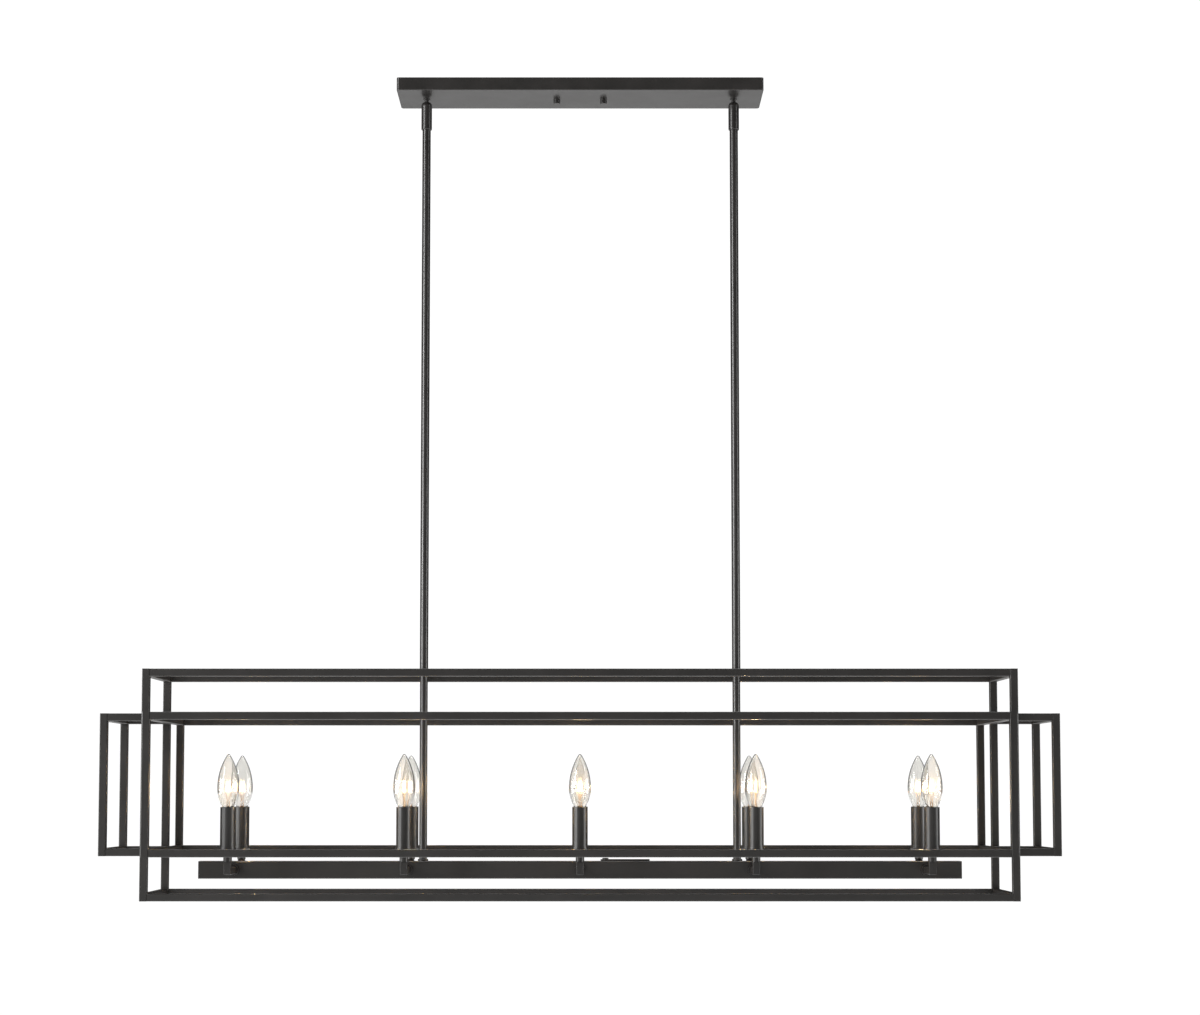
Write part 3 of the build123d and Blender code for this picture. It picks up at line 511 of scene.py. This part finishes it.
def lamp_screw_shell():
    """The rolled screw shell of the base: a plain skirt, then a thread on a thin wall."""
    root = BASE_R - THREAD_DEPTH
    skirt = turned_piece("skirt", [
        (BASE_R - 1.0, GLASS_LENGTH + 0.6), (BASE_R - 0.5, GLASS_LENGTH + 0.1), (BASE_R - 0.1, GLASS_LENGTH),
        (BASE_R, GLASS_LENGTH + 0.3), (BASE_R, SKIRT_END - 0.6), (root, SKIRT_END),
        (root - 0.3, SKIRT_END + 0.2),
    ])
    deselect_all()
    first_drop = SKIRT_END - THREAD_PITCH
    bpy.ops.mesh.primitive_plane_add(size=MM, location=(root * MM, 0, -first_drop * MM))
    thread = bpy.context.active_object
    bpy.ops.object.mode_set(mode="EDIT")
    bpy.ops.mesh.select_all(action="SELECT")
    bpy.ops.mesh.merge(type="CENTER")
    bpy.ops.mesh.select_mode(type="VERT")
    bpy.ops.mesh.select_all(action="SELECT")
    radius = root
    for step in range(1, THREAD_STEPS + 1):
        next_radius = root + THREAD_DEPTH * (1 - math.cos(math.tau * step / THREAD_STEPS)) / 2
        bpy.ops.mesh.extrude_vertices_move(TRANSFORM_OT_translate={
            "value": ((next_radius - radius) * MM, 0, -THREAD_PITCH / THREAD_STEPS * MM)
        })
        radius = next_radius
    bpy.ops.object.mode_set(mode="OBJECT")
    pick(thread)
    bpy.ops.object.transform_apply(location=True, rotation=True, scale=True)
    apply_modifier(
        thread, "SCREW", axis="Z", screw_offset=-THREAD_PITCH * MM, iterations=THREAD_TURNS,
        steps=THREAD_SIDES, render_steps=THREAD_SIDES, use_merge_vertices=True, merge_threshold=WELD * MM,
    )
    pick(thread)
    bpy.ops.object.mode_set(mode="EDIT")
    for drop, upward in ((SKIRT_END, 1), (SHELL_END, -1)):
        bpy.ops.mesh.select_all(action="SELECT")
        bpy.ops.mesh.bisect(
            plane_co=(0, 0, -drop * MM), plane_no=(0, 0, upward), clear_outer=True,
            threshold=CUT_REACH * MM,
        )
    bpy.ops.mesh.select_all(action="SELECT")
    bpy.ops.mesh.remove_doubles(threshold=WELD * MM)
    bpy.ops.mesh.normals_make_consistent(inside=False)
    bpy.ops.object.mode_set(mode="OBJECT")
    return smooth(joined("lamp_base", [skirt, thread]), 60)


def lamp_insulator():
    """The black glass cone between the shell and the contact."""
    return smooth(turned_piece("lamp_insulator", [
        (BASE_R - 1.2, SHELL_END - 0.4), (BASE_R - 0.5, SHELL_END), (BASE_R - 0.7, SHELL_END + 0.5),
        (CONE_R + 0.4, CONE_END - 0.3), (CONE_R, CONE_END), (CONTACT_R, CONE_END + 0.1),
    ], sides=CONE_SIDES, close_start=True, close_end=True), 50)


def lamp_contact():
    """The soldered contact under the cone."""
    return smooth(turned_piece("lamp_contact", [
        (CONTACT_R, CONE_END - 0.2), (CONTACT_R, CONE_END + 0.3), (CONTACT_R * 0.85, CONE_END + 0.7),
        (CONTACT_R * 0.5, LAMP_LENGTH - 0.05), (CONTACT_R * 0.1, LAMP_LENGTH),
    ], sides=SMALL_SIDES, close_start=True, close_end=True), 50)


def fit_lamps():
    """Copies each piece of the lamp into all ten candles, turned as it happens to screw home."""
    patterns = [
        (lamp_envelope(), LAMP_GLASS, "clear_glass", "bulb_glass"),
        (lamp_screw_shell(), SHELL_METAL, "lamp_metal", "bulb_base"),
        (lamp_insulator(), VITRITE, "dark_plastic", "bulb_base"),
        (lamp_contact(), SOLDER, "zinc_steel", "bulb_base"),
        (lamp_leads(), LEAD_WIRE, "lamp_metal", "bulb_base"),
        (lamp_filament(), FILAMENT, "lamp_metal", "bulb_base"),
    ]
    turns = iter(LAMP_TURNS)
    for row in ("front", "rear"):
        for number in range(1, LAMPS_IN_A_ROW + 1):
            low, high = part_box(f"bulb_glass_{row}_{number}")
            tip = Vector(((low[0] + high[0]) / 2, (low[1] + high[1]) / 2, high[2]))
            placing = Matrix.Translation(tip) @ Matrix.Rotation(math.radians(next(turns)), 4, "Z")
            for pattern, material, slot, node in patterns:
                piece = pattern.copy()
                piece.data = pattern.data.copy()
                piece.name = f"{pattern.name}_{row}_{number}"
                piece.data.transform(placing)
                piece.data.materials.clear()
                piece.data.materials.append(material)
                bpy.context.scene.collection.objects.link(piece)
                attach(piece, f"lamp_{row}_{number}")
                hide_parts(f"{node}_{row}_{number}")
    for pattern, *_ in patterns:
        bpy.data.objects.remove(pattern)


fit_lamps()


# =====================================================================
# Studio: floor, light and camera
# =====================================================================

# Distances in metres. Powers in watts.
FLOOR_DROP = 2.7  # the floor's depth below the ceiling
FLOOR_SIZE = 24.0
FLOOR_GLOW = 0.95
ROOM_WHITE = 1.05
RODS_MIDDLE = (0, 0, -0.5)
FRAMES_MIDDLE = (0, 0, -1.05)


def studio_floor():
    """A plain pale floor of lit acrylic, which stays white to its edge."""
    deselect_all()
    bpy.ops.mesh.primitive_plane_add(size=FLOOR_SIZE, location=(0, 0, -FLOOR_DROP))
    floor = bpy.context.active_object
    floor.name = "studio_floor"
    material = new_material("lit_white_acrylic")
    tree = material.node_tree
    surface = add_node(
        tree, "ShaderNodeBsdfPrincipled",
        {"Base Color": colour("#f4f4f2"), "Roughness": 0.9, "Emission Color": colour("#ffffff"),
         "Emission Strength": FLOOR_GLOW},
    )
    add_node(tree, "ShaderNodeOutputMaterial", links={"Surface": surface.outputs["BSDF"]})
    floor.data.materials.append(material)


def studio_world():
    """A white room to the eye and through glass. In reflections it is brightest in front and to the left, and
    dark behind and above."""
    world = bpy.data.worlds.new("studio_room")
    bpy.context.scene.world = world
    world.use_nodes = True
    tree = world.node_tree
    tree.nodes.clear()
    place = add_node(tree, "ShaderNodeTexCoord")
    axes = add_node(tree, "ShaderNodeSeparateXYZ", links={"Vector": place.outputs["Generated"]})
    front = add_node(
        tree, "ShaderNodeMapRange", {"From Min": -1.0, "From Max": -0.1, "To Min": 0.6, "To Max": 0.08},
        {"Value": axes.outputs["Y"]},
    )
    lower = add_node(
        tree, "ShaderNodeMapRange", {"From Min": 0.03, "From Max": 0.3, "To Min": 1.0, "To Max": 0.08},
        {"Value": axes.outputs["Z"]},
    )
    left = add_node(
        tree, "ShaderNodeMapRange", {"From Min": -0.3, "From Max": 0.3, "To Min": 1.45, "To Max": 0.6},
        {"Value": axes.outputs["X"]},
    )
    low_front = add_node(
        tree, "ShaderNodeMath", {"operation": "MULTIPLY"},
        {0: front.outputs["Result"], 1: lower.outputs["Result"]},
    )
    level = add_node(
        tree, "ShaderNodeMath", {"operation": "MULTIPLY"},
        {0: low_front.outputs["Value"], 1: left.outputs["Result"]},
    )
    white = add_node(tree, "ShaderNodeBackground", {"Color": (1, 1, 1, 1), "Strength": ROOM_WHITE})
    shaded = add_node(
        tree, "ShaderNodeBackground", {"Color": (1, 0.98, 0.955, 1)}, {"Strength": level.outputs["Value"]}
    )
    path = add_node(tree, "ShaderNodeLightPath")
    seen = add_node(
        tree, "ShaderNodeMath", {"operation": "MAXIMUM"},
        {0: path.outputs["Is Camera Ray"], 1: path.outputs["Is Transmission Ray"]},
    )
    mix = add_node(
        tree, "ShaderNodeMixShader",
        links={0: seen.outputs["Value"], 1: shaded.outputs["Background"], 2: white.outputs["Background"]},
    )
    add_node(tree, "ShaderNodeOutputWorld", links={"Surface": mix.outputs["Shader"]})


def soft_box(name, place, target, width, height, power):
    """A rectangular soft light that faces a point."""
    light = bpy.data.lights.new(name, "AREA")
    light.shape = "RECTANGLE"
    light.size = width
    light.size_y = height
    light.energy = power
    holder = bpy.data.objects.new(name, light)
    holder.location = place
    holder.rotation_euler = (Vector(target) - Vector(place)).to_track_quat("-Z", "Y").to_euler()
    bpy.context.scene.collection.objects.link(holder)


CAMERA_PLACE = (0.0077, -3.6283, -1.0515)
CAMERA_PITCH = 4.398  # degrees up from level
CAMERA_LENS = 74.41  # millimetres, on a sensor of the width below
CAMERA_SENSOR = 36.0
CAMERA_SHIFT = (0.0122, 0.08)
CAMERA_REACH = 200.0


def photo_camera():
    """The photograph's viewpoint, level with the middle of the open frames."""
    data = bpy.data.cameras.new("photo_camera")
    data.lens = CAMERA_LENS
    data.sensor_width = CAMERA_SENSOR
    data.shift_x, data.shift_y = CAMERA_SHIFT
    data.clip_end = CAMERA_REACH
    camera = bpy.data.objects.new("photo_camera", data)
    camera.location = CAMERA_PLACE
    camera.rotation_euler = Euler((math.radians(90 + CAMERA_PITCH), 0, 0))
    bpy.context.scene.collection.objects.link(camera)
    bpy.context.scene.camera = camera


studio_floor()
studio_world()
soft_box("upper_left_box", (-3.2, -2.2, 0.0), RODS_MIDDLE, width=0.8, height=2.0, power=160)
soft_box("low_left_box", (-3.6, -0.7, -1.1), FRAMES_MIDDLE, width=0.9, height=1.4, power=45)
soft_box("low_right_box", (3.6, -0.7, -1.1), FRAMES_MIDDLE, width=0.9, height=1.4, power=45)
soft_box("upper_right_box", (3.4, -1.6, 0.0), RODS_MIDDLE, width=0.8, height=2.0, power=30)
soft_box("overhead_box", (0, -0.3, 1.6), (0, 0, -1.0), width=3.2, height=1.2, power=110)
photo_camera()
bpy.context.scene.view_settings.view_transform = "Standard"
